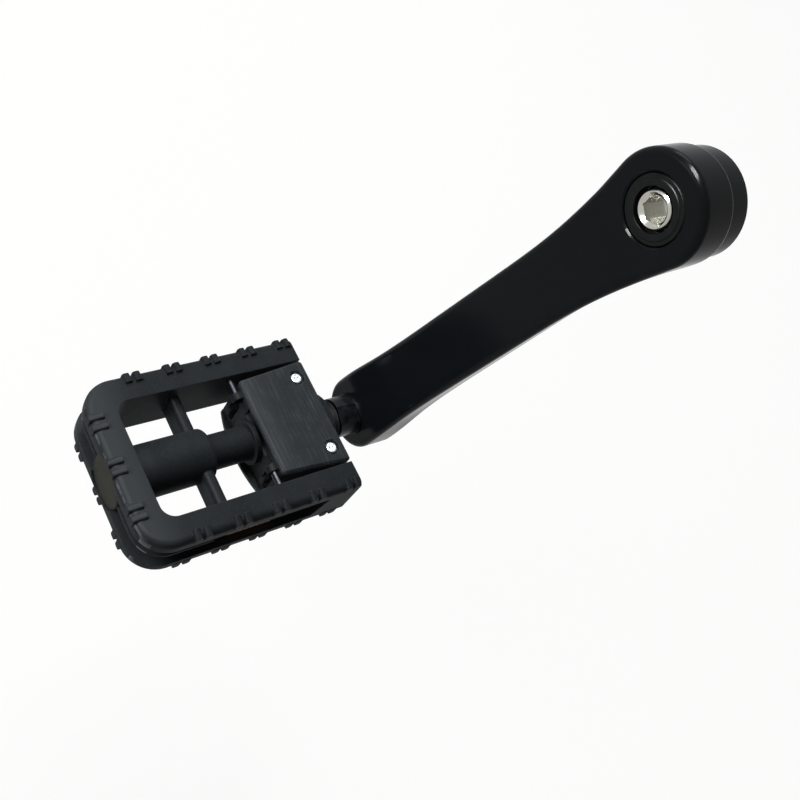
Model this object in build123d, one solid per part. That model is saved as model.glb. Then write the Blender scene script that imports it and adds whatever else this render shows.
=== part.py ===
"""Left crank arm with a folding platform pedal.

Row frame: millimetres, +Z up, +Y outward from the bike, +X forward.  The origin is the mouth of the
square spindle socket, on the bottom bracket axis.  The pedal is drawn in its own frame (origin on the
pedal axis, at the crank end of the platform) and is then placed with PEDAL.
"""
import os
from math import cos, hypot, radians, sin

from build123d import *

# ---- crank arm -------------------------------------------------------------------------------------
crank_length = 170.0        # bottom bracket axis to pedal axis
crank_lean = 9.5            # arm forward of plumb, degrees
boss_radius = 18.4
hub_radius = 17.2           # the boss behind the arm
boss_depth = 24.0
taper_across = 12.7         # square socket at its mouth
taper_angle = 2.0           # each side of the square, degrees
extractor_radius = 11.2     # threaded recess in the boss face
extractor_depth = 9.0
recess_chamfer = 0.5        # round the mouth of the recess, and round the ring in it
eye_radius = 15.0
eye_back = 22.5             # back of the pedal eye, outward of the boss back
arm_thickness = 14.5
arm_rounding = 2.4          # along the front edges
back_rounding = 1.6
# half the width at a part of the length, at the front, and how much less it is at the back
arm_widths = [(0.115, 15.6, 1.6), (0.23, 13.7, 2.6), (0.40, 13.2, 2.4), (0.60, 13.3, 2.0), (0.85, 14.0, 0.9)]

# ---- bolt and ring in the boss ---------------------------------------------------------------------
bolt_radius = 4.0
bolt_length = 9.0           # shank below the flange
bolt_flange_radius = 8.5
bolt_flange = 2.5
bolt_head_radius = 6.2
bolt_head_sink = 0.4        # head below the boss face
bolt_hex = 8.0
bolt_hex_depth = 6.0
ring_depth = 4.2
ring_sink = 0.2
ring_step = 0.35            # raised middle of the ring
ring_face_radius = 9.4
ring_hole_radius = 7.2

# ---- pedal spindle ---------------------------------------------------------------------------------
thread_radius = 7.14
axle_radius = 5.0
axle_tail = 4.0             # solid block left beyond the axle's end
collar_radius = 8.4         # round part that carries the spanner flats
washer_radius = 8.8
washer_thickness = 1.2
spanner_flats = 15.0
flats_turn = 20.8           # spanner flats about the axle, degrees
flats_length = 8.8
running_gap = 0.05          # radial clearance of every turning shaft
face_gap = 0.5              # clearance between faces that turn past each other

# ---- platform --------------------------------------------------------------------------------------
platform_offset = 55.0      # boss back to the platform's crank end
platform_width = 69.0
platform_length = 91.0
platform_height = 24.0
rail_width = 10.5
end_wall = 11.0             # outer end, inside edge to outside edge
corner_radius = 13.0
well_radius = 5.5
edge_round = 2.8            # along the top and bottom edges
flange_height = 5.8         # top and bottom flanges round the side channel
channel_depth = 5.0
channel_start = 13.0        # solid rail between the crank end and the channel
channel_slant = 4.0
ridge_height = 1.0          # thin rib along the middle of the channel
ridge_sink = 1.2
reflector_start = 34.0
reflector_length = 20.0
reflector_sink = 3.0        # lens face below the rail's side

tooth_pitch = 16.3          # grip teeth, in pairs along the rails
tooth_first = 4.2
tooth_gap = 4.1             # between the two teeth of a pair
tooth_width = 2.9
tooth_reach = 3.8           # inward of the rail's side
end_tooth_reach = 5.4
tooth_rise = 1.2            # above the rail, falling outward
tooth_fall = 0.8
lower_shift = 2.6           # lower teeth further out along the rails
end_tooth_pitch = 18.3

barrel_radius = 10.35
barrel_start = 50.0         # where the barrel narrows to the neck
neck_radius = 7.0
neck_flange_radius = 9.0
neck_flange = 2.0
rib_centre = 54.4
rib_width = 4.8
rib_half_height = 5.6
cap_thickness = 1.5
cap_sink = 0.8              # cap below the outer end

# ---- hinge block -----------------------------------------------------------------------------------
block_side_gap = 0.6        # between the block and the rails, at the crank end
block_taper = 2.5           # narrower at the outer face, each side
block_length = 30.0
plate_thickness = 2.2
plate_rise = 0.8            # plate face above the rails
plate_bevel = 0.9
block_corner = 1.3          # upright edges of the block and its plates
stop_reach = 3.4            # lower plate bows out under the neck as its stop
nose_radius = 12.4
nose_length = 3.0
seal_radius = 8.2
pivot_out = 1.0             # fold axis beyond the block's outer face
ear_below_plate = 0.5       # top of the ears below the tread plate
pivot_radius = 1.4
pivot_grip = 4.0            # pin inside the rail
ear_radius = 2.6
ear_thickness = 3.0
ear_inset = 3.3             # in from the side of the outer face
pocket_width = 4.6          # latch pockets in the outer face
pocket_wall = 2.6
pocket_floor = -7.5
pocket_depth = 6.0
post_radius = 1.5
post_height = -2.0          # latch post, above the pedal axis
post_out = 2.4              # beyond the outer face
screw_inset = 4.7
screw_from_end = 5.6
screw_head_radius = 2.3
screw_head_height = 1.3
screw_radius = 1.5
screw_recess_radius = 3.25
nut_across = 5.5
nut_height = 1.6

half_height = platform_height / 2
half_width = platform_width / 2
rail_inner = half_width - rail_width
block_half_width = rail_inner - block_side_gap - block_taper     # at its outer face
plate_face = half_height + plate_rise
block_half_height = plate_face - plate_thickness
pivot_height = block_half_height - ear_below_plate - ear_radius    # fold axis above the pedal axis
eye_face = eye_back + arm_thickness
slope_start = extractor_radius + 4
slope_end = crank_length - collar_radius - 3
arm_face = eye_face - platform_offset          # in the pedal frame
pivot_reach = block_length + pivot_out
neck_start = block_length + face_gap
screw_spots = [(side * (block_half_width - screw_inset), screw_from_end) for side in (1, -1)]

lean = radians(crank_lean)
ARM = Location((0, 0, 0), (0, 90 - crank_lean, 0))
PEDAL = Location((crank_length * sin(lean), platform_offset, -crank_length * cos(lean)))


def outward(y, x=0.0, z=0.0):
    """Plane across the pedal axis, facing outward."""
    return Plane(origin=(x, y, z), x_dir=(1, 0, 0), z_dir=(0, 1, 0))


def rod(radius, start, length, x=0.0, z=0.0):
    """Cylinder along +Y from y=start."""
    return extrude(outward(start, x, z) * Circle(radius), length)


def cross_rod(radius, x0, x1, y, z=0.0):
    """Cylinder along X between x0 and x1."""
    x0, x1 = sorted((x0, x1))
    return extrude(Plane(origin=(x0, y, z), x_dir=(0, 1, 0), z_dir=(1, 0, 0)) * Circle(radius), x1 - x0)


def box(x0, x1, y0, y1, z0, z1):
    x0, x1 = sorted((x0, x1))
    z0, z1 = sorted((z0, z1))
    return Pos((x0 + x1) / 2, (y0 + y1) / 2, (z0 + z1) / 2) * Box(x1 - x0, y1 - y0, z1 - z0)


# ---- crank arm, drawn with +X along the arm --------------------------------------------------------
def arm_face_at(along):
    """How far out the face of the arm lies: level at the boss and the eye, sloped between them."""
    part = (along - slope_start) / (slope_end - slope_start)
    return boss_depth + (eye_face - boss_depth) * min(max(part, 0), 1)


def arm_plan(y):
    """Outline of the arm at one depth, boss and eye included; the sides lean in toward the back."""
    def side(sign):
        points = [(boss_radius * cos(radians(80)), sign * boss_radius * sin(radians(80)))]
        for part, half, less in arm_widths:
            along = part * crank_length
            points.append((along, sign * (half + less * (y - arm_face_at(along)) / arm_thickness)))
        points.append((crank_length, sign * eye_radius))
        return Spline(*points, tangents=[(sin(radians(80)), -sign * cos(radians(80))), (1, 0)])

    upper, lower = side(1), side(-1)
    boss = ThreePointArc(upper @ 0, (-boss_radius, 0), lower @ 0)
    eye = ThreePointArc(upper @ 1, (crank_length + eye_radius, 0), lower @ 1)
    return Plane(origin=(0, y, 0), x_dir=(1, 0, 0), z_dir=(0, 1, 0)) * make_face([upper, lower, boss, eye])


def arm_profile():
    """Side view of the forging: the face steps outward from the boss to the pedal eye."""
    start, end = -2 * boss_radius, crank_length + 2 * eye_radius
    line = [(start, boss_depth), (slope_start, boss_depth), (slope_end, eye_face), (end, eye_face)]
    line += [(x, y - arm_thickness) for x, y in reversed(line)]
    face = make_face(Polyline(*line, close=True))
    return fillet([v for v in face.vertices() if start + 1 < v.X < end - 1], 60)


def build_arm():
    beam = loft([arm_plan(0), arm_plan(eye_face + 1)])
    beam &= extrude(arm_profile(), 2 * boss_radius, both=True)
    for toward, size in ((1, arm_rounding), (-1, back_rounding)):
        rims = [e for f in beam.faces() if toward * f.normal_at().Y > 0.9 for e in f.edges()]
        shared = [e for e in rims if sum(e.is_same(other) for other in rims) == 1]
        beam = fillet(shared, size)
    arm = beam + chamfer(rod(hub_radius, 0, boss_depth - 4).edges().sort_by(Axis.Y)[0], back_rounding)
    socket_depth = boss_depth - extractor_depth
    small = taper_across - 2 * socket_depth * sin(radians(taper_angle))
    arm -= loft([outward(0) * Rectangle(taper_across, taper_across),
                 outward(socket_depth) * Rectangle(small, small)])
    arm -= rod(extractor_radius, socket_depth, extractor_depth + 1)
    arm -= loft([outward(boss_depth - recess_chamfer) * Circle(extractor_radius),
                 outward(boss_depth + 1) * Circle(extractor_radius + recess_chamfer + 1)])
    arm -= rod(thread_radius + running_gap, eye_back - 5, arm_thickness + 10, x=crank_length)
    return ARM * arm


def build_bolt():
    seat = boss_depth - extractor_depth
    top = boss_depth - bolt_head_sink
    bolt = rod(bolt_radius, seat - bolt_length, bolt_length)
    bolt += rod(bolt_flange_radius, seat, bolt_flange)
    head = rod(bolt_head_radius, seat + bolt_flange, top - seat - bolt_flange)
    bolt += chamfer(head.edges().sort_by(Axis.Y)[-1], 0.6)
    hexagon = RegularPolygon(bolt_hex / 2, 6, major_radius=False)
    return ARM * (bolt - extrude(outward(top - bolt_hex_depth) * hexagon, bolt_hex_depth))


def build_ring():
    front = boss_depth - ring_sink
    ring = rod(extractor_radius - running_gap, front - ring_depth, ring_depth - ring_step)
    ring = chamfer(ring.edges().sort_by(Axis.Y)[-1], recess_chamfer)
    face = rod(ring_face_radius, front - ring_step, ring_step)
    ring += chamfer(face.edges().sort_by(Axis.Y)[-1], 0.2)
    return ARM * (ring - rod(ring_hole_radius, 0, boss_depth))


# ---- pedal spindle, drawn in the pedal frame -------------------------------------------------------
def build_spindle():
    flats_start = arm_face + washer_thickness
    flats_end = flats_start + flats_length
    spindle = rod(thread_radius, arm_face - arm_thickness, arm_thickness)
    spindle += rod(washer_radius, arm_face, washer_thickness)
    flats = rod(collar_radius, flats_start, flats_length)
    spindle += flats & (Rot(0, -flats_turn, 0) * Box(4 * collar_radius, 4 * platform_offset, spanner_flats))
    spindle += rod(axle_radius, flats_end, block_length - axle_tail - flats_end)
    return spindle


def build_seal():
    start = arm_face + washer_thickness + flats_length + face_gap
    seal = rod(seal_radius, start, -nose_length - start)
    seal = chamfer(seal.edges().sort_by(Axis.Y)[0], 0.8)
    return seal - rod(axle_radius + running_gap, start - 1, platform_offset)


# ---- hinge block -----------------------------------------------------------------------------------
def block_slab(z0, z1, bow=0.0):
    """Layer of the hinge block, wider at the crank end; bow arches its outer edge."""
    wide = block_half_width + block_taper
    corners = [(block_half_width, block_length), (wide, 0), (-wide, 0), (-block_half_width, block_length)]
    if bow:
        edge = ThreePointArc(corners[-1], (0, block_length + bow), corners[0])
    else:
        edge = Line(corners[-1], corners[0])
    plan = fillet(make_face([*Polyline(*corners).edges(), edge]).vertices(), block_corner)
    return extrude(Pos(0, 0, min(z0, z1)) * plan, abs(z1 - z0))


def build_block():
    block = block_slab(-block_half_height, block_half_height)
    nose = rod(nose_radius, -nose_length, nose_length + 1)
    nose = chamfer(nose.edges().sort_by(Axis.Y)[0], 1.2)
    block += nose & box(-platform_width, platform_width, -platform_width, platform_width,
                        -block_half_height, block_half_height)
    for side in (1, -1):
        outer = side * block_half_width
        # latch pocket with its post
        block -= box(outer - side * (pocket_wall + pocket_width), outer - side * pocket_wall,
                     block_length - pocket_depth, block_length + 1, pocket_floor,
                     pivot_height - ear_radius - 0.8)
        post = rod(post_radius, block_length - pocket_depth - 1, pocket_depth + 1 + post_out,
                   x=outer - side * (pocket_wall + pocket_width / 2), z=post_height)
        block += chamfer(post.edges().sort_by(Axis.Y)[-1], 0.4)
        # ear that carries the fold pin
        ear = (outer - side * ear_inset, outer - side * (ear_inset + ear_thickness))
        block += cross_rod(ear_radius, *ear, pivot_reach, pivot_height)
        block += box(*ear, block_length - 1, pivot_reach, pivot_height - ear_radius,
                     pivot_height + ear_radius)
    # room for the neck flange as it swings up
    beyond = max(pivot_reach - neck_start, neck_start + neck_flange - pivot_reach)
    sweep = hypot(beyond, neck_flange_radius - pivot_height) + face_gap
    room = neck_flange_radius + face_gap
    block -= cross_rod(sweep, -room, room, pivot_reach, pivot_height)
    block -= rod(axle_radius + running_gap, -nose_length - 1, block_length - axle_tail + nose_length + 2)
    block -= cross_rod(pivot_radius + running_gap, -half_width, half_width, pivot_reach, pivot_height)
    for x, y in screw_spots:
        block -= Pos(x, y, 0) * Cylinder(screw_radius + 0.1, platform_height)
    return block


def build_plate(side):
    """Tread plate; side is 1 for the top one and -1 for the bottom one."""
    plate = block_slab(side * block_half_height, side * plate_face, stop_reach if side < 0 else 0)
    face = plate.faces().sort_by(Axis.Z)[-1 if side > 0 else 0]
    plate = chamfer(face.edges(), plate_bevel)
    for x, y in screw_spots:
        plate -= Pos(x, y, side * plate_face) * Cylinder(screw_recess_radius, 2 * (plate_thickness - 0.6))
        plate -= Pos(x, y, side * plate_face) * Cylinder(screw_radius + 0.1, 4 * plate_thickness)
    return plate


screw_seat = plate_face - plate_thickness + 0.6


def build_screw(spot):
    x, y = spot
    head = Pos(x, y, screw_seat + screw_head_height / 2) * Cylinder(screw_head_radius, screw_head_height)
    head = fillet(head.edges().sort_by(Axis.Z)[-1], 0.6)
    screw = head + Pos(x, y, 0) * Cylinder(screw_radius, 2 * screw_seat)
    for turn in (0, 90):
        screw -= Pos(x, y, screw_seat + screw_head_height) * Rot(0, 0, turn) * Box(2.6, 0.7, 1.2)
    return screw


def build_nut(spot):
    x, y = spot
    plane = Plane(origin=(x, y, -screw_seat), x_dir=(1, 0, 0), z_dir=(0, 0, -1))
    nut = extrude(plane * RegularPolygon(nut_across / 2, 6, major_radius=False), nut_height)
    return nut - Pos(x, y, -screw_seat) * Cylinder(screw_radius + running_gap, 4 * nut_height)


def build_pivot(side):
    return cross_rod(pivot_radius, side * (block_half_width - ear_inset - ear_thickness + 0.2),
                     side * (rail_inner + pivot_grip), pivot_reach, pivot_height)


# ---- cage ------------------------------------------------------------------------------------------
def outline(inset):
    """Plan of the cage seen from above: crank end square, outer corners round."""
    half = half_width - inset
    face = Pos(0, (platform_length - inset) / 2) * Rectangle(2 * half, platform_length - inset)
    return fillet(face.vertices().group_by(Axis.Y)[-1], corner_radius - inset)


def tooth(x, y, side_turn, reach, top):
    """Grip tooth across the rounded edge; side_turn points it outward, top is 1 above and -1 below."""
    low, high = half_height - edge_round - 0.6, half_height + tooth_rise
    profile = Polyline((-reach, low), (0.2, low), (0.2, high - tooth_fall), (-reach, high), close=True)
    side = Plane(origin=(0, 0, 0), x_dir=(1, 0, 0), z_dir=(0, -1, 0)) * make_face(profile)
    bar = extrude(side, tooth_width / 2, both=True)
    upper = bar.faces().sort_by(Axis.Z)[-1]
    bar = fillet([e for e in upper.edges() if e.length > tooth_width], 1.0)
    if top < 0:
        bar = Rot(180, 0, 0) * bar
    return Pos(x, y, 0) * Rot(0, 0, side_turn) * bar


def tooth_places():
    """Where each tooth stands, its turn, its reach, and whether it is an upper or a lower one."""
    pair = (-tooth_gap / 2, tooth_gap / 2)
    for top, along in ((1, 0), (-1, lower_shift)):
        for i in range(5):
            for shift in pair:
                y = tooth_first + along + i * tooth_pitch + shift
                yield half_width, y, 0, tooth_reach, top
                yield -half_width, y, 180, tooth_reach, top
        for i in (-1, 0, 1):
            for shift in pair:
                yield i * end_tooth_pitch + shift, platform_length, 90, end_tooth_reach, top


def build_cage():
    cage = extrude(outline(0), half_height, both=True)
    faces = cage.faces().sort_by(Axis.Z)
    cage = fillet([e for f in (faces[0], faces[-1]) for e in f.edges() if e.center().Y > 0.5], edge_round)
    for place in tooth_places():
        cage += tooth(*place)
    well_length = platform_length - end_wall
    well = Pos(0, well_length / 2 - 5) * Rectangle(2 * rail_inner, well_length + 10)
    well = fillet(well.vertices().group_by(Axis.Y)[-1], well_radius)
    cage -= extrude(well, platform_height, both=True)
    # side channel between the flanges, with a thin ridge along its middle
    channel = half_height - flange_height
    band = extrude(outline(-1) - outline(channel_depth), channel, both=True)
    slant = make_face(Polyline((channel_start, channel), (2 * platform_length, channel),
                               (2 * platform_length, -channel), (channel_start + channel_slant, -channel),
                               close=True))
    cut = extrude(Plane(origin=(0, 0, 0), x_dir=(0, 1, 0), z_dir=(1, 0, 0)) * slant, platform_width, both=True)
    cage -= band & cut
    ridge_from = tooth_first + 3.5 * tooth_pitch
    ridge = extrude(outline(ridge_sink) - outline(channel_depth + 0.5), ridge_height / 2, both=True)
    cage += ridge & box(-platform_width, platform_width, ridge_from, 2 * platform_length, -channel, channel)
    # barrel, neck and ribs
    cage += rod(barrel_radius, well_length - 0.5, end_wall + 0.5)
    barrel = rod(barrel_radius, barrel_start, well_length + 1 - barrel_start)
    cage += fillet(barrel.edges().sort_by(Axis.Y)[0], 1.8)
    cage -= rod(barrel_radius + running_gap, platform_length - cap_sink - cap_thickness, end_wall)
    cage += rod(neck_radius, neck_start, barrel_start + 1 - neck_start)
    cage += rod(neck_flange_radius, neck_start, neck_flange)
    for side in (1, -1):
        rib = box(side * (neck_radius - 1), side * (rail_inner + 1), rib_centre - rib_width / 2,
                  rib_centre + rib_width / 2, -rib_half_height, rib_half_height)
        cage += fillet(rib.edges().filter_by(Axis.X), 1.9)
        cage -= cross_rod(pivot_radius + running_gap, side * (rail_inner - 1),
                          side * (rail_inner + pivot_grip + 0.3), pivot_reach, pivot_height)
    return cage


def build_cap():
    cap = rod(barrel_radius, platform_length - cap_sink - cap_thickness, cap_thickness)
    return chamfer(cap.edges().sort_by(Axis.Y)[-1], 0.5)


def build_reflector(side):
    height = half_height - flange_height - 0.3
    return box(side * (half_width - channel_depth), side * (half_width - reflector_sink),
               reflector_start, reflector_start + reflector_length, -height, height)


nodes = {
    "crank_arm": build_arm(),
    "crank_bolt": build_bolt(),
    "extractor_ring": build_ring(),
    "pedal_spindle": PEDAL * build_spindle(),
    "dust_seal": PEDAL * build_seal(),
    "hinge_block": PEDAL * build_block(),
    "tread_plate_top": PEDAL * build_plate(1),
    "tread_plate_bottom": PEDAL * build_plate(-1),
    "cage": PEDAL * build_cage(),
    "barrel_cap": PEDAL * build_cap(),
}
for name, spot in zip(("front", "rear"), screw_spots):
    nodes[f"plate_screw_{name}"] = PEDAL * build_screw(spot)
    nodes[f"plate_nut_{name}"] = PEDAL * build_nut(spot)
for name, side in (("front", 1), ("rear", -1)):
    nodes[f"pivot_pin_{name}"] = PEDAL * build_pivot(side)
    nodes[f"reflector_{name}"] = PEDAL * build_reflector(side)

os.makedirs("parts", exist_ok=True)
for name, shape in nodes.items():
    export_step(shape, f"parts/{name}.step")
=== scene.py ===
"""Finishes a left crank arm and its folding platform pedal, and sets them in a plain studio.

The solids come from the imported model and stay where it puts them.  Each operator gives one part, or one
group of like parts, its surface, or models a finer piece that stands in its place.
"""
import math

import bpy
from mathutils import Matrix, Vector


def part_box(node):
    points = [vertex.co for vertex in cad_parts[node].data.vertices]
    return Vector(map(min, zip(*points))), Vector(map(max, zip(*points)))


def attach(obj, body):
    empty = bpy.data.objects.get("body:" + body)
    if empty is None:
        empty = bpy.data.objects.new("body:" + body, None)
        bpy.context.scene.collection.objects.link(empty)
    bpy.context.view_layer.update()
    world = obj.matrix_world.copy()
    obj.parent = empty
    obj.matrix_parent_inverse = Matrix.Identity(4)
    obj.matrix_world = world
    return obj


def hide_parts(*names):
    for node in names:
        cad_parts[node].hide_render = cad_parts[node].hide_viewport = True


bl_info = {
    "name": "Folding Pedal Crank",
    "version": (1, 0, 0),
    "blender": (4, 5, 0),
    "location": "3D View > Sidebar > Crank",
    "description": "Finishes a left crank arm and its folding platform pedal",
    "category": "Object",
}

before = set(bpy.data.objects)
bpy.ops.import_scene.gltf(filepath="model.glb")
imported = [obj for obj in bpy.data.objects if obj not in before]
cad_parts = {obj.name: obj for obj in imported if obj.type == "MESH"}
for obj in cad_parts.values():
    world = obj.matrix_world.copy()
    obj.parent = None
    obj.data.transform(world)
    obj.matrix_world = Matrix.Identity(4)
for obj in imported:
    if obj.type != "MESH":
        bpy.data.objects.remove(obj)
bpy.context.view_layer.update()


def linear(hex_colour):
    """An sRGB hex value as a linear RGBA colour."""
    channels = [int(hex_colour[i:i + 2], 16) / 255 for i in (1, 3, 5)]
    levels = [c / 12.92 if c <= 0.04045 else ((c + 0.055) / 1.055) ** 2.4 for c in channels]
    return (*levels, 1.0)


def add_node(owner, kind, inputs=None, **settings):
    """Adds one node to a material or a world.

    settings are its properties, and inputs its socket values or the sockets linked to them.
    """
    node = owner.node_tree.nodes.new(kind)
    for name, value in settings.items():
        setattr(node, name, value)
    for socket, value in (inputs or {}).items():
        if isinstance(value, bpy.types.NodeSocket):
            owner.node_tree.links.new(value, node.inputs[socket])
        else:
            node.inputs[socket].default_value = value
    return node


# ---- settings ----------------------------------------------------------------------------------------
def colour(name, text, hex_colour):
    """A colour setting with its default written as a hex value."""
    return bpy.props.FloatVectorProperty(name=name, description=text, subtype="COLOR", size=4, min=0, max=1,
                                         default=linear(hex_colour))


def length(name, text, default, least=0.0):
    """A length setting in metres."""
    return bpy.props.FloatProperty(name=name, description=text, default=default, min=least, unit="LENGTH")


def watts(name, text, default):
    """A lamp's power setting."""
    return bpy.props.FloatProperty(name=name, description=f"{text}, in watts", default=default, min=0)


class CrankMetals(bpy.types.PropertyGroup):
    """Finishes of the arm and of the steel parts."""
    paint: colour("Arm paint", "Black stoving enamel on the forged arm", "#1e2123")
    machined: colour("Machined aluminium", "Bare metal in the socket and the threads", "#b9b9b6")
    zinc: colour("Bolt plating", "Crank bolt, zinc dulled by weather", "#aeada6")
    screws: colour("Screw plating", "Bright zinc of the tread plates' screws and nuts", "#aeb4ba")
    blacked: colour("Blackened steel", "Spindle and fold pins", "#1c1d20")
    ring: colour("Extractor ring", "Anodised ring round the bolt", "#1d1f1e")
    paint_roughness: bpy.props.FloatProperty(name="Paint roughness", default=0.17, min=0, max=1,
                                             description="How dull the arm's enamel is")
    thread_pitch: length("Thread pitch", "Extractor thread in the boss", 0.001, least=0.0002)
    bolt_shank: length("Bolt shank", "Length under the bolt's flange", 0.009, least=0.001)
    socket_flats: length("Socket", "Hexagon socket across its flats", 0.008, least=0.002)
    enamel_edge: length("Enamel edge", "How far out the bare metal reaches", 0.0225)


class PedalPlastics(bpy.types.PropertyGroup):
    """Finishes of the moulded and rubber parts."""
    cage: colour("Cage", "Glass filled nylon of the cage", "#34383b")
    block: colour("Hinge block", "Glass filled nylon of the hinge block", "#313538")
    plate: colour("Tread plates", "Brushed tread plates", "#484c4f")
    cap: colour("Barrel cap", "Snap-in cap of the barrel", "#403f3a")
    rubber: colour("Seal", "Nitrile rubber of the dust seal", "#17181a")
    amber: colour("Reflector", "Amber acrylic", "#a8480a")
    seal_bore: length("Seal bore", "Radius of the axle in the seal", 0.00505, least=0.001)
    lens_rim: length("Lens rim", "Plain rim round the reflector's prisms", 0.0008, least=0.0001)
    grain: length("Mould grain", "Size of the spark eroded mould grain", 0.0006, least=0.0001)
    brush_pitch: length("Brush marks", "Spacing of the tread plates' lines", 0.0007, least=0.0001)


class StudioSettings(bpy.types.PropertyGroup):
    """Floor and lamps."""
    floor: colour("Floor", "Pale floor", "#dcd8d0")
    floor_drop: length("Floor drop", "Floor below the crank axis", 0.30, least=0.19)
    key_power: watts("Key", "Softbox ahead of the part and above", 4.8)
    strip_power: watts("Strip light", "Long narrow light overhead", 66.0)
    front_power: watts("Front card", "Soft light outboard of the pedal", 1.0)
    sky: bpy.props.FloatProperty(name="Room light", description="Light from all round", default=0.03, min=0)


# ---- materials ---------------------------------------------------------------------------------------
def new_material(name, base, roughness, **sockets):
    """A material with one Principled shader, its plain numbers set on the shader itself."""
    material = bpy.data.materials.new(name)
    material.use_nodes = True
    shader = material.node_tree.nodes["Principled BSDF"]
    shader.inputs["Base Color"].default_value = base
    shader.inputs["Roughness"].default_value = roughness
    for socket, value in sockets.items():
        shader.inputs[socket.replace("_", " ")].default_value = value
    return material, shader


def pale_edges_wear_and_highlight(material, radius, full_turn, most):
    """Edges rounded by radius, and the share of them painted paler, partly wear and partly a painted edge
    highlight, as two nodes.

    The share grows to most as the cosine between the rounded and the flat normal falls to full_turn.
    """
    edge = add_node(material, "ShaderNodeBevel", {"Radius": radius}, samples=6)
    geometry = add_node(material, "ShaderNodeNewGeometry")
    turn = add_node(material, "ShaderNodeVectorMath", {0: edge.outputs[0], 1: geometry.outputs["Normal"]},
                    operation="DOT_PRODUCT")
    rubbed_and_highlit = add_node(material, "ShaderNodeMapRange",
                      {"Value": turn.outputs["Value"], "From Min": 0.98, "From Max": full_turn,
                       "To Min": 0.0, "To Max": most})
    return edge, rubbed_and_highlit


def background_rays(owner):
    """A socket that is 1 for rays to which floor and room are a plain white background, and else 0.

    They come from the camera, off a glossy face or through a clear one.
    """
    path = add_node(owner, "ShaderNodeLightPath")
    clear = path.outputs["Is Camera Ray"]
    for ray in ("Is Glossy Ray", "Is Transmission Ray"):
        clear = add_node(owner, "ShaderNodeMath", {0: clear, 1: path.outputs[ray]},
                         operation="MAXIMUM").outputs[0]
    return clear


def forged_enamel():
    """Semi-gloss black stoving enamel on forged aluminium: deep black with a faint orange peel.

    The square socket and the threads round the bolt are left as bare machined aluminium.
    """
    look = bpy.context.scene.crank_metals
    bare_radius = 0.01122  # just takes in the wall of the threaded recess
    peel_height, thread_height = 0.00004, 0.0003
    material, shader = new_material("stoved_enamel_on_forged_aluminium", look.paint, look.paint_roughness,
                                    Specular_IOR_Level=0.05)
    place = add_node(material, "ShaderNodeTexCoord").outputs["Object"]
    split = add_node(material, "ShaderNodeSeparateXYZ", {0: place})
    across = add_node(material, "ShaderNodeCombineXYZ", {"X": split.outputs["X"], "Z": split.outputs["Z"]})
    radius = add_node(material, "ShaderNodeVectorMath", {0: across.outputs[0]}, operation="LENGTH")
    inside = add_node(material, "ShaderNodeMath", {0: radius.outputs["Value"], 1: bare_radius},
                      operation="LESS_THAN")
    # enamel runs a little way in over the mouth of the recess
    deep = add_node(material, "ShaderNodeMath", {0: split.outputs["Y"], 1: look.enamel_edge},
                    operation="LESS_THAN")
    bare = add_node(material, "ShaderNodeMath", {0: inside.outputs[0], 1: deep.outputs[0]},
                    operation="MULTIPLY")
    # enamel lies a shade thicker or thinner in patches about 60 mm across
    drift = add_node(material, "ShaderNodeTexNoise", {"Vector": place, "Scale": 16.0, "Detail": 2.0})
    tone = add_node(material, "ShaderNodeMix",
                    {0: drift.outputs["Fac"], 6: look.paint, 7: linear("#272b2f")}, data_type="RGBA")
    base = add_node(material, "ShaderNodeMix", {0: bare.outputs[0], 6: tone.outputs[2], 7: look.machined},
                    data_type="RGBA")
    # orange peel about 2.5 mm across
    peel = add_node(material, "ShaderNodeTexNoise", {"Vector": place, "Scale": 400.0, "Detail": 1.0})
    skin = add_node(material, "ShaderNodeBump",
                    {"Strength": 0.25, "Distance": peel_height, "Height": peel.outputs["Fac"]})
    # thread crests run round the axis, one pitch apart
    turns = add_node(material, "ShaderNodeMath",
                     {0: split.outputs["Y"], 1: 2 * math.pi / look.thread_pitch}, operation="MULTIPLY")
    crest = add_node(material, "ShaderNodeMath", {0: turns.outputs[0]}, operation="SINE")
    thread = add_node(material, "ShaderNodeBump",
                      {"Strength": 0.8, "Distance": thread_height, "Height": crest.outputs[0]})
    normal = add_node(material, "ShaderNodeMix",
                      {0: bare.outputs[0], 4: skin.outputs[0], 5: thread.outputs[0]}, data_type="VECTOR")
    links = material.node_tree.links
    links.new(base.outputs[2], shader.inputs["Base Color"])
    links.new(bare.outputs[0], shader.inputs["Metallic"])
    links.new(normal.outputs[1], shader.inputs["Normal"])
    return material


def turned_steel(name, base, roughness):
    """Turned or cold headed metal: fine tool marks under a slightly uneven plating."""
    mark_size, mark_height, edge_radius = 0.0004, 0.00003, 0.0002
    brightest, dullest = roughness * 0.8, roughness * 1.35
    material, shader = new_material(name, base, roughness, Metallic=1.0)
    place = add_node(material, "ShaderNodeTexCoord").outputs["Object"]
    # the plating dulls in spots about 4 mm across
    plating = add_node(material, "ShaderNodeTexNoise", {"Vector": place, "Scale": 260.0, "Detail": 3.0})
    rough = add_node(material, "ShaderNodeMapRange",
                     {"Value": plating.outputs["Fac"], "From Min": 0.3, "From Max": 0.7,
                      "To Min": brightest, "To Max": dullest})
    edge = add_node(material, "ShaderNodeBevel", {"Radius": edge_radius}, samples=4)
    marks = add_node(material, "ShaderNodeTexNoise",
                     {"Vector": place, "Scale": 1 / mark_size, "Detail": 1.0})
    bump = add_node(material, "ShaderNodeBump",
                    {"Strength": 0.2, "Distance": mark_height, "Height": marks.outputs["Fac"],
                     "Normal": edge.outputs[0]})
    links = material.node_tree.links
    links.new(rough.outputs[0], shader.inputs["Roughness"])
    links.new(bump.outputs[0], shader.inputs["Normal"])
    return material


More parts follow.
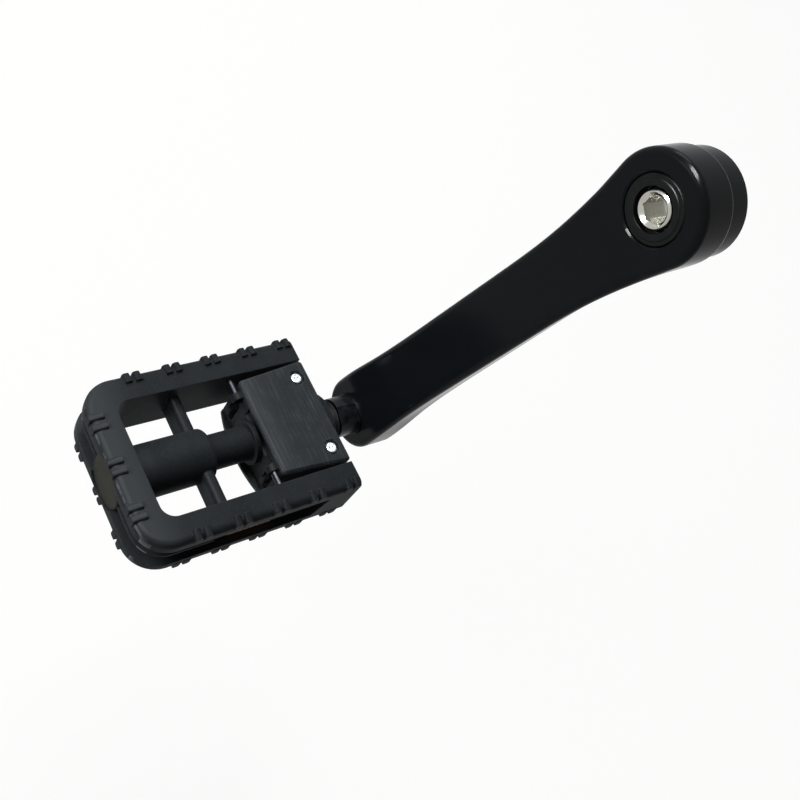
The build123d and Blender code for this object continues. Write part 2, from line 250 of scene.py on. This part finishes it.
def moulded_nylon(name, base, pale, paler_from=1.0):
    """Glass filled nylon from a spark eroded mould: fine even grain, cloudy where the glass lies near the
    skin, and a little paler along the edges, partly polished wear and partly a painted edge highlight.

    Level faces further out along Y than paler_from are made paler, and its default leaves a part plain.
    """
    grain = bpy.context.scene.pedal_plastics.grain
    pale_run = 0.012  # from the first paling to the palest
    lean, lean_spread = 0.82, 0.1  # outward part of the normal along the rounding of the outer end
    pit_depth = 0.00008
    material, shader = new_material(name, base, roughness=0.5, Specular_IOR_Level=0.025)
    coordinates = add_node(material, "ShaderNodeTexCoord").outputs
    place = coordinates["Object"]
    # clouds about 18 mm across
    cloud = add_node(material, "ShaderNodeTexNoise",
                     {"Vector": place, "Scale": 55.0, "Detail": 4.0, "Roughness": 0.6})
    clouded = add_node(material, "ShaderNodeMapRange",
                       {"Value": cloud.outputs["Fac"], "From Min": 0.35, "From Max": 0.75,
                        "To Min": 0.0, "To Max": 0.55})
    # short glass fibres near the skin, drawn 1 mm long so that they show
    fibre = add_node(material, "ShaderNodeTexNoise",
                     {"Vector": place, "Scale": 900.0, "Detail": 3.0, "Roughness": 0.7})
    flecked = add_node(material, "ShaderNodeMapRange",
                       {"Value": fibre.outputs["Fac"], "From Min": 0.5, "From Max": 0.72,
                        "To Min": 0.0, "To Max": 0.5})
    # the level faces of the outer end are paler
    split = add_node(material, "ShaderNodeSeparateXYZ", {0: place})
    outer = add_node(material, "ShaderNodeMapRange",
                     {"Value": split.outputs["Y"], "From Min": paler_from,
                      "From Max": paler_from + pale_run, "To Min": 0.0, "To Max": 1.0})
    facing = add_node(material, "ShaderNodeSeparateXYZ", {0: coordinates["Normal"]})
    level = add_node(material, "ShaderNodeMath", {0: facing.outputs["Z"]}, operation="ABSOLUTE")
    paler_level_faces = add_node(material, "ShaderNodeMath", {0: outer.outputs[0], 1: level.outputs[0]},
                       operation="MULTIPLY")
    # a painted highlight lies in patches along its rounding
    rounding = add_node(material, "ShaderNodeMath", {0: facing.outputs["Y"], 1: lean, 2: lean_spread},
                        operation="COMPARE")
    patches = add_node(material, "ShaderNodeMapRange",
                       {"Value": cloud.outputs["Fac"], "From Min": 0.40, "From Max": 0.52,
                        "To Min": 0.0, "To Max": 1.0})
    painted_rim_highlight = rounding
    for limit in (outer, patches):
        painted_rim_highlight = add_node(material, "ShaderNodeMath", {0: painted_rim_highlight.outputs[0], 1: limit.outputs[0]},
                           operation="MULTIPLY")
    # edges paler, partly wear and partly a painted edge highlight
    edge, rubbed_and_highlit = pale_edges_wear_and_highlight(material, radius=0.0005, full_turn=0.8, most=0.35)
    tone = base
    for share, over in ((clouded, pale), (flecked, pale), (paler_level_faces, linear("#565a5d")),
                        (painted_rim_highlight, linear("#a2a6a8")), (rubbed_and_highlit, linear("#6a6e70"))):
        tone = add_node(material, "ShaderNodeMix", {0: share.outputs[0], 6: tone, 7: over},
                        data_type="RGBA").outputs[2]
    pits = add_node(material, "ShaderNodeTexNoise", {"Vector": place, "Scale": 1 / grain, "Detail": 2.0})
    bump = add_node(material, "ShaderNodeBump",
                    {"Strength": 0.35, "Distance": pit_depth, "Height": pits.outputs["Fac"],
                     "Normal": edge.outputs[0]})
    links = material.node_tree.links
    links.new(tone, shader.inputs["Base Color"])
    links.new(bump.outputs[0], shader.inputs["Normal"])
    return material


def brushed_plate():
    """Tread plate moulded against a brushed tool face: short straight scratches across the plate, paler
    towards its outer end, over a cloudy dark ground."""
    look = bpy.context.scene.pedal_plastics
    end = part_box("tread_plate_top")[1][1]
    pale_reach, pale_full = 0.011, 0.002  # how far in from the outer end the plate grows paler, and is palest
    chip_highlight_reach, chip_highlight_full = 0.003, 0.001  # the same for the chips and painted highlight along the outer edge
    scratch_depth = 0.00006
    material, shader = new_material("tread_plate_brushed_nylon", look.plate, roughness=0.42,
                                    Specular_IOR_Level=0.045)
    place = add_node(material, "ShaderNodeTexCoord").outputs["Object"]
    # scratches are 25 times as long as they are wide
    stretch = add_node(material, "ShaderNodeMapping", {"Vector": place, "Scale": (0.04, 1.0, 0.04)})
    lines = add_node(material, "ShaderNodeTexNoise",
                     {"Vector": stretch.outputs[0], "Scale": 1 / look.brush_pitch, "Detail": 4.0,
                      "Roughness": 0.7})
    scratch = add_node(material, "ShaderNodeMapRange",
                       {"Value": lines.outputs["Fac"], "From Min": 0.48, "From Max": 0.72,
                        "To Min": 0.0, "To Max": 1.0})
    # rubbed patches about 6 mm across
    cloud = add_node(material, "ShaderNodeTexNoise",
                     {"Vector": place, "Scale": 160.0, "Detail": 5.0, "Roughness": 0.65})
    patch = add_node(material, "ShaderNodeMapRange",
                     {"Value": cloud.outputs["Fac"], "From Min": 0.38, "From Max": 0.68,
                      "To Min": 0.15, "To Max": 1.0})
    scratched = add_node(material, "ShaderNodeMath", {0: scratch.outputs[0], 1: patch.outputs[0]},
                         operation="MULTIPLY")
    # paler over the outer third, most near the outer end
    split = add_node(material, "ShaderNodeSeparateXYZ", {0: place})
    paler_outer = add_node(material, "ShaderNodeMapRange",
                       {"Value": split.outputs["Y"], "From Min": end - pale_reach,
                        "From Max": end - pale_full, "To Min": 0.0, "To Max": 0.35})
    pale = add_node(material, "ShaderNodeMath", {0: scratched.outputs[0], 1: paler_outer.outputs[0]},
                    operation="ADD")
    # edges are paler all round, partly wear and partly a painted edge highlight, and palest along the outer
    # one, where chips and a painted highlight lie
    edge, rubbed_and_highlit = pale_edges_wear_and_highlight(material, radius=0.0004, full_turn=0.85, most=0.8)
    leading = add_node(material, "ShaderNodeMapRange",
                       {"Value": split.outputs["Y"], "From Min": end - chip_highlight_reach,
                        "From Max": end - chip_highlight_full, "To Min": 0.15, "To Max": 1.0})
    chipped_and_highlit = add_node(material, "ShaderNodeMath", {0: rubbed_and_highlit.outputs[0], 1: leading.outputs[0]},
                       operation="MULTIPLY")
    tone = linear("#404447")
    for share, over in ((patch, look.plate), (pale, linear("#6f7477")), (chipped_and_highlit, linear("#a0a5a8"))):
        tone = add_node(material, "ShaderNodeMix", {0: share.outputs[0], 6: tone, 7: over},
                        data_type="RGBA").outputs[2]
    bump = add_node(material, "ShaderNodeBump",
                    {"Strength": 0.4, "Distance": scratch_depth, "Height": lines.outputs["Fac"],
                     "Normal": edge.outputs[0]})
    links = material.node_tree.links
    links.new(tone, shader.inputs["Base Color"])
    links.new(bump.outputs[0], shader.inputs["Normal"])
    return material


def seal_rubber():
    """Nitrile rubber: dull black with a bloom of fine dust."""
    look = bpy.context.scene.pedal_plastics
    material, shader = new_material("dust_seal_nitrile_rubber", look.rubber, roughness=0.6,
                                    Specular_IOR_Level=0.12)
    place = add_node(material, "ShaderNodeTexCoord").outputs["Object"]
    # the bloom lies in blotches about 3 mm across
    bloom = add_node(material, "ShaderNodeTexNoise", {"Vector": place, "Scale": 300.0, "Detail": 4.0})
    tone = add_node(material, "ShaderNodeMix",
                    {0: bloom.outputs["Fac"], 6: look.rubber, 7: linear("#2a2b2d")}, data_type="RGBA")
    material.node_tree.links.new(tone.outputs[2], shader.inputs["Base Color"])
    return material


def amber_acrylic():
    """Amber acrylic reflector: glossy face over a back moulded into small corner prisms."""
    look = bpy.context.scene.pedal_plastics
    prism_height = 0.0004
    material, shader = new_material("reflector_amber_acrylic", look.amber, roughness=0.12, IOR=1.49,
                                    Coat_Weight=0.6)
    place = add_node(material, "ShaderNodeTexCoord").outputs["Object"]
    # prisms 1.6 mm across, drawn coarser than the real 1 mm so that they show
    cells = add_node(material, "ShaderNodeTexVoronoi",
                     {"Vector": place, "Scale": 620.0, "Randomness": 0.15}, distance="CHEBYCHEV")
    tone = add_node(material, "ShaderNodeMix",
                    {0: cells.outputs["Distance"], 6: linear("#cf7416"), 7: look.amber}, data_type="RGBA")
    bump = add_node(material, "ShaderNodeBump",
                    {"Strength": 0.7, "Distance": prism_height, "Height": cells.outputs["Distance"]})
    links = material.node_tree.links
    links.new(tone.outputs[2], shader.inputs["Base Color"])
    links.new(bump.outputs[0], shader.inputs["Normal"])
    return material


def pale_floor():
    """Plain matte floor that the camera sees white, with the object's shadow still on it."""
    look = bpy.context.scene.studio
    # three parts in four glow at 1.23, which is 0.92, and the lit fourth brings that up to white
    glow_share, glow = 0.75, 1.23
    material, shader = new_material("studio_floor_matte", look.floor, roughness=0.9, Specular_IOR_Level=0.0)
    seen = add_node(material, "ShaderNodeMath", {0: background_rays(material), 1: glow_share},
                    operation="MULTIPLY")
    white = add_node(material, "ShaderNodeEmission", {"Color": (1, 1, 1, 1), "Strength": glow})
    blend = add_node(material, "ShaderNodeMixShader",
                     {0: seen.outputs[0], 1: shader.outputs[0], 2: white.outputs[0]})
    material.node_tree.links.new(blend.outputs[0], material.node_tree.nodes["Material Output"].inputs[0])
    return material


def finish_nodes(names, material):
    """Gives CAD nodes their surface."""
    for name in names:
        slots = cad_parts[name].data.materials
        slots.clear()
        slots.append(material)


# ---- modelling helpers -------------------------------------------------------------------------------
def edit(piece):
    """Opens one piece in edit mode, with nothing else selected."""
    bpy.ops.object.select_all(action="DESELECT")
    piece.select_set(True)
    bpy.context.view_layer.objects.active = piece
    bpy.ops.object.mode_set(mode="EDIT")


def select_faces(piece, wanted):
    """Selects, in edit mode, the faces whose centre and normal pass the test."""
    bpy.ops.mesh.select_all(action="DESELECT")
    bpy.ops.object.mode_set(mode="OBJECT")
    for face in piece.data.polygons:
        face.select = bool(wanted(face.center, face.normal))
    bpy.ops.object.mode_set(mode="EDIT")


def settle(piece, name, material, slot, body, *nodes):
    """Puts a finished piece's place into its mesh, and ties it to its body and the nodes it replaces."""
    bpy.ops.object.mode_set(mode="OBJECT")
    bpy.ops.object.transform_apply(location=True, rotation=True, scale=True)
    piece.name = name
    piece.data.name = name
    piece.data.materials.clear()
    piece.data.materials.append(material)
    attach(piece, body)
    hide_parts(*nodes)


def turn_profile(profile, centre):
    """Turns a profile of (radius, y) points about the Y axis through centre into a closed skin."""
    steps, same_point = 72, 0.000002
    bpy.ops.object.select_all(action="DESELECT")
    bpy.ops.mesh.primitive_plane_add(size=0.001, location=(0, 0, 0))
    piece = bpy.context.object
    bpy.ops.object.mode_set(mode="EDIT")
    bpy.ops.mesh.select_all(action="SELECT")
    bpy.ops.mesh.merge(type="CENTER")
    points = [Vector((centre[0] + r, y, centre[2])) for r, y in profile]
    bpy.ops.transform.translate(value=points[0])
    for start, end in zip(points, points[1:]):
        bpy.ops.mesh.extrude_vertices_move(TRANSFORM_OT_translate={"value": end - start})
    bpy.ops.mesh.select_all(action="SELECT")
    bpy.ops.mesh.spin(steps=steps, angle=2 * math.pi, center=centre, axis=(0, 1, 0))
    bpy.ops.mesh.select_all(action="SELECT")
    bpy.ops.mesh.remove_doubles(threshold=same_point)
    bpy.ops.mesh.normals_make_consistent(inside=False)
    return piece


# ---- one operator for each part ----------------------------------------------------------------------
class CRANK_OT_arm(bpy.types.Operator):
    """Enamel the forged arm and leave its socket and threads bare"""
    bl_idname = "crank.arm"
    bl_label = "Crank arm"

    def execute(self, context):
        finish_nodes(["crank_arm"], forged_enamel())
        return {"FINISHED"}


class CRANK_OT_bolt(bpy.types.Operator):
    """Turn the crank bolt, broach its hexagon socket and countersink the socket's mouth"""
    bl_idname = "crank.bolt"
    bl_label = "Crank bolt"

    def execute(self, context):
        look = context.scene.crank_metals
        low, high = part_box("crank_bolt")
        top, seat, flange = high[1], low[1] + look.bolt_shank, (high[0] - low[0]) / 2
        head, shank, chamfer = 0.0062, 0.004, 0.0006
        flange_edge, flange_top, flange_chamfer = seat + 0.0022, seat + 0.0025, 0.0003
        bolt = turn_profile([(0.0, low[1]), (shank - chamfer, low[1]), (shank, low[1] + chamfer),
                             (shank, seat), (flange, seat), (flange, flange_edge),
                             (flange - flange_chamfer, flange_top), (head, flange_top),
                             (head, top - chamfer), (head - chamfer, top), (0.0, top)], (0.0, 0.0, 0.0))
        bpy.ops.object.mode_set(mode="OBJECT")
        # the socket's mouth is opened at 45 degrees to clear the hexagon's corners
        corner, socket_depth, overcut = look.socket_flats / math.sqrt(3), 0.006, 0.001
        sink_outer, sink_inner, sink_depth = 0.0057, 0.0043, 0.001
        socket_length, sink_length = socket_depth + overcut, sink_outer - sink_inner
        cutters = (dict(vertices=6, radius1=corner, radius2=corner, depth=socket_length,
                        location=(0, top - socket_depth + socket_length / 2, 0)),
                   dict(vertices=64, radius1=sink_outer, radius2=sink_inner, depth=sink_length,
                        location=(0, top - sink_depth + sink_length / 2, 0)))
        for cutter in cutters:
            bpy.ops.object.select_all(action="DESELECT")
            bpy.ops.mesh.primitive_cone_add(rotation=(math.radians(90), 0, 0), **cutter)
            tool = context.object
            bpy.ops.object.transform_apply(location=True, rotation=True, scale=True)
            bpy.ops.object.select_all(action="DESELECT")
            bolt.select_set(True)
            context.view_layer.objects.active = bolt
            cut = bolt.modifiers.new("Socket", "BOOLEAN")
            cut.operation, cut.object = "DIFFERENCE", tool
            bpy.ops.object.modifier_apply(modifier=cut.name)
            bpy.data.objects.remove(tool)
        edit(bolt)
        bpy.ops.mesh.select_all(action="SELECT")
        # the cuts leave slivers thinner than this
        sliver = 0.00001
        bpy.ops.mesh.remove_doubles(threshold=sliver)
        steel = turned_steel("crank_bolt_zinc_plate", look.zinc, roughness=0.16)
        settle(bolt, "crank_bolt_socketed", steel, "zinc_steel", "crank", "crank_bolt")
        bpy.ops.object.shade_smooth_by_angle(angle=math.radians(30))
        return {"FINISHED"}


class CRANK_OT_ring(bpy.types.Operator):
    """Anodise the ring round the crank bolt"""
    bl_idname = "crank.ring"
    bl_label = "Extractor ring"

    def execute(self, context):
        look = context.scene.crank_metals
        aluminium = turned_steel("ring_black_anodised_aluminium", look.ring, roughness=0.35)
        finish_nodes(["extractor_ring"], aluminium)
        return {"FINISHED"}


class CRANK_OT_spindle(bpy.types.Operator):
    """Black the pedal spindle and the fold pins"""
    bl_idname = "crank.spindle"
    bl_label = "Spindle and fold pins"

    def execute(self, context):
        look = context.scene.crank_metals
        steel = turned_steel("spindle_blackened_steel", look.blacked, roughness=0.35)
        finish_nodes(["pedal_spindle", "pivot_pin_front", "pivot_pin_rear"], steel)
        return {"FINISHED"}


class CRANK_OT_seal(bpy.types.Operator):
    """Turn the rubber dust seal with its two wiping lips"""
    bl_idname = "crank.seal"
    bl_label = "Dust seal"

    def execute(self, context):
        low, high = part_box("dust_seal")
        centre = ((low[0] + high[0]) / 2, 0.0, (low[2] + high[2]) / 2)
        outer = (high[0] - low[0]) / 2
        start, length = low[1], high[1] - low[1]
        bore = context.scene.pedal_plastics.seal_bore
        # one lip near the arm and one past half way, with a waist after each
        skin = [(bore, 0.0), (outer - 0.0010, 0.0), (outer - 0.0002, 0.10), (outer, 0.17),
                (outer - 0.0003, 0.24), (outer - 0.0015, 0.36), (outer - 0.0017, 0.44),
                (outer - 0.0008, 0.52), (outer - 0.0001, 0.60), (outer - 0.0003, 0.67),
                (outer - 0.0016, 0.80), (outer - 0.0018, 1.0), (bore, 1.0), (bore, 0.0)]
        seal = turn_profile([(r, start + part * length) for r, part in skin], centre)
        settle(seal, "dust_seal_lips", seal_rubber(), "seal_rubber", "crank", "dust_seal")
        bpy.ops.object.shade_smooth_by_angle(angle=math.radians(40))
        return {"FINISHED"}


class CRANK_OT_block(bpy.types.Operator):
    """Mould the hinge block"""
    bl_idname = "crank.block"
    bl_label = "Hinge block"

    def execute(self, context):
        look = context.scene.pedal_plastics
        nylon = moulded_nylon("hinge_block_glass_filled_nylon", look.block, linear("#44484a"))
        finish_nodes(["hinge_block"], nylon)
        return {"FINISHED"}


class CRANK_OT_plates(bpy.types.Operator):
    """Brush both tread plates"""
    bl_idname = "crank.plates"
    bl_label = "Tread plates"

    def execute(self, context):
        finish_nodes(["tread_plate_top", "tread_plate_bottom"], brushed_plate())
        return {"FINISHED"}


class CRANK_OT_screws(bpy.types.Operator):
    """Plate the tread plates' screws and nuts"""
    bl_idname = "crank.screws"
    bl_label = "Plate screws and nuts"

    def execute(self, context):
        look = context.scene.crank_metals
        steel = turned_steel("plate_screw_zinc_plate", look.screws, roughness=0.3)
        names = [f"plate_{kind}_{end}" for kind in ("screw", "nut") for end in ("front", "rear")]
        finish_nodes(names, steel)
        return {"FINISHED"}


class CRANK_OT_cage(bpy.types.Operator):
    """Mould the folding cage"""
    bl_idname = "crank.cage"
    bl_label = "Cage"

    def execute(self, context):
        look = context.scene.pedal_plastics
        # the cage's level faces are paler over its last 18 mm
        end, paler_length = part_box("cage")[1][1], 0.018
        nylon = moulded_nylon("cage_glass_filled_nylon", look.cage, linear("#484c4f"),
                              paler_from=end - paler_length)
        finish_nodes(["cage"], nylon)
        return {"FINISHED"}


class CRANK_OT_cap(bpy.types.Operator):
    """Mould the barrel's end cap"""
    bl_idname = "crank.cap"
    bl_label = "Barrel cap"

    def execute(self, context):
        look = context.scene.pedal_plastics
        plastic = moulded_nylon("barrel_cap_polypropylene", look.cap, linear("#55544e"))
        finish_nodes(["barrel_cap"], plastic)
        return {"FINISHED"}


class CRANK_OT_reflectors(bpy.types.Operator):
    """Mould the two amber reflectors, each a tray of small sunk prisms inside a plain rim"""
    bl_idname = "crank.reflectors"
    bl_label = "Reflectors"

    def execute(self, context):
        rim = context.scene.pedal_plastics.lens_rim
        acrylic = amber_acrylic()
        cells, prism_depth, edge_radius = 8, 0.0005, 0.0002
        square_on = 0.9  # least outward part of an outer face's normal
        cage_low, cage_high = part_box("cage")
        middle = (cage_low[0] + cage_high[0]) / 2
        for end in ("front", "rear"):
            low, high = (Vector(corner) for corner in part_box(f"reflector_{end}"))
            centre, size = (low + high) / 2, high - low
            outward = 1 if centre.x > middle else -1
            bpy.ops.object.select_all(action="DESELECT")
            bpy.ops.mesh.primitive_cube_add(size=1, location=centre, scale=size)
            lens = context.object
            bpy.ops.object.transform_apply(location=True, rotation=True, scale=True)
            edit(lens)
            select_faces(lens, lambda at, normal: normal.x * outward > square_on)
            bpy.ops.mesh.inset(thickness=rim, depth=0)
            # eight by eight cells, each poked inward into a four sided prism
            bpy.ops.mesh.subdivide(number_cuts=cells - 1)
            select_faces(lens, lambda at, normal: normal.x * outward > square_on
                         and abs(at.y - centre.y) < size.y / 2 - rim
                         and abs(at.z - centre.z) < size.z / 2 - rim)
            bpy.ops.mesh.poke(offset=-prism_depth)
            bpy.ops.mesh.select_all(action="SELECT")
            bpy.ops.mesh.normals_make_consistent(inside=False)
            bpy.ops.object.mode_set(mode="OBJECT")
            bevel = lens.modifiers.new("Rim", "BEVEL")
            bevel.width, bevel.segments, bevel.angle_limit = edge_radius, 2, math.radians(60)
            bpy.ops.object.modifier_apply(modifier=bevel.name)
            settle(lens, f"reflector_lens_{end}", acrylic, "amber_lens", "pedal_cage", f"reflector_{end}")
        return {"FINISHED"}


class CRANK_OT_stage(bpy.types.Operator):
    """Lay the floor, hang the lamps and set up the camera"""
    bl_idname = "crank.stage"
    bl_label = "Studio"

    def execute(self, context):
        look = context.scene.studio
        floor_size = 6
        bpy.ops.object.select_all(action="DESELECT")
        bpy.ops.mesh.primitive_plane_add(size=floor_size, location=(0, 0, -look.floor_drop))
        floor = context.object
        floor.name = "studio_floor"
        floor.data.materials.append(pale_floor())

        aim = Vector((0.02, 0.06, -0.09))
        lamps = [  # name, direction from the part, distance, width, length, power, colour
            ("key_softbox", (0.64, -0.22, 0.73), 1.1, 0.5, 0.5, look.key_power, (0.95, 0.98, 1.0)),
            ("front_card", (0.35, 0.85, 0.40), 0.6, 0.3, 0.3, look.front_power, (0.92, 0.97, 1.0)),
            ("strip_light", (0.22, 0.36, 0.91), 1.0, 0.30, 0.7, look.strip_power, (1.0, 1.0, 1.0)),
        ]
        for name, toward, distance, width, length, power, tint in lamps:
            toward = Vector(toward).normalized()
            # turned to shine back along its direction
            turn = (-math.asin(toward.y), math.atan2(toward.x, toward.z), 0)
            bpy.ops.object.light_add(type="AREA", location=aim + toward * distance, rotation=turn)
            lamp = context.object
            lamp.name = name
            lamp.data.shape = "RECTANGLE"
            lamp.data.size, lamp.data.size_y = width, length
            lamp.data.energy = power
            lamp.data.color = tint
            lamp.visible_camera = False
            # the strip only draws the long highlights on enamel and steel
            lamp.visible_diffuse = name != "strip_light"

        world = bpy.data.worlds.new("studio_room")
        context.scene.world = world
        world.use_nodes = True
        level = add_node(world, "ShaderNodeMapRange",
                         {"Value": background_rays(world), "To Min": look.sky, "To Max": 1.0})
        room = world.node_tree.nodes["Background"]
        room.inputs["Color"].default_value = (1, 1, 1, 1)
        world.node_tree.links.new(level.outputs[0], room.inputs["Strength"])

        # out to the left of the bike, above the pedal, looking back at the boss
        eye = (-0.0984, 0.2683, 0.1648)
        view = Matrix(((-0.4553, 0.8428, -0.2870), (-0.7785, -0.2204, 0.5877), (0.4321, 0.4910, 0.7564)))
        bpy.ops.object.camera_add(location=eye, rotation=view.to_euler())
        camera = context.object
        camera.data.sensor_width = 36
        camera.data.lens = 45.35
        camera.data.clip_start = 0.01
        context.scene.camera = camera
        context.scene.view_settings.view_transform = "Standard"
        return {"FINISHED"}


class CRANK_PT_parts(bpy.types.Panel):
    """Lists the settings and one button for each part"""
    bl_idname = "CRANK_PT_parts"
    bl_label = "Folding pedal crank"
    bl_space_type = "VIEW_3D"
    bl_region_type = "UI"
    bl_category = "Crank"

    def draw(self, context):
        for group in (context.scene.crank_metals, context.scene.pedal_plastics, context.scene.studio):
            box = self.layout.box()
            for name in group.bl_rna.properties.keys():
                if name not in ("rna_type", "name"):
                    box.prop(group, name)
        for part in PARTS:
            self.layout.operator(part.bl_idname)


SETTINGS = {"crank_metals": CrankMetals, "pedal_plastics": PedalPlastics, "studio": StudioSettings}
PARTS = (CRANK_OT_arm, CRANK_OT_bolt, CRANK_OT_ring, CRANK_OT_spindle, CRANK_OT_seal, CRANK_OT_block,
         CRANK_OT_plates, CRANK_OT_screws, CRANK_OT_cage, CRANK_OT_cap, CRANK_OT_reflectors,
         CRANK_OT_stage)


def register():
    for cls in (*SETTINGS.values(), *PARTS, CRANK_PT_parts):
        bpy.utils.register_class(cls)
    for name, group in SETTINGS.items():
        setattr(bpy.types.Scene, name, bpy.props.PointerProperty(type=group))


def unregister():
    for name in SETTINGS:
        delattr(bpy.types.Scene, name)
    for cls in (CRANK_PT_parts, *reversed(PARTS), *SETTINGS.values()):
        bpy.utils.unregister_class(cls)


def main():
    register()
    for part in PARTS:
        group, name = part.bl_idname.split(".")
        getattr(getattr(bpy.ops, group), name)()


if __name__ == "__main__":
    main()
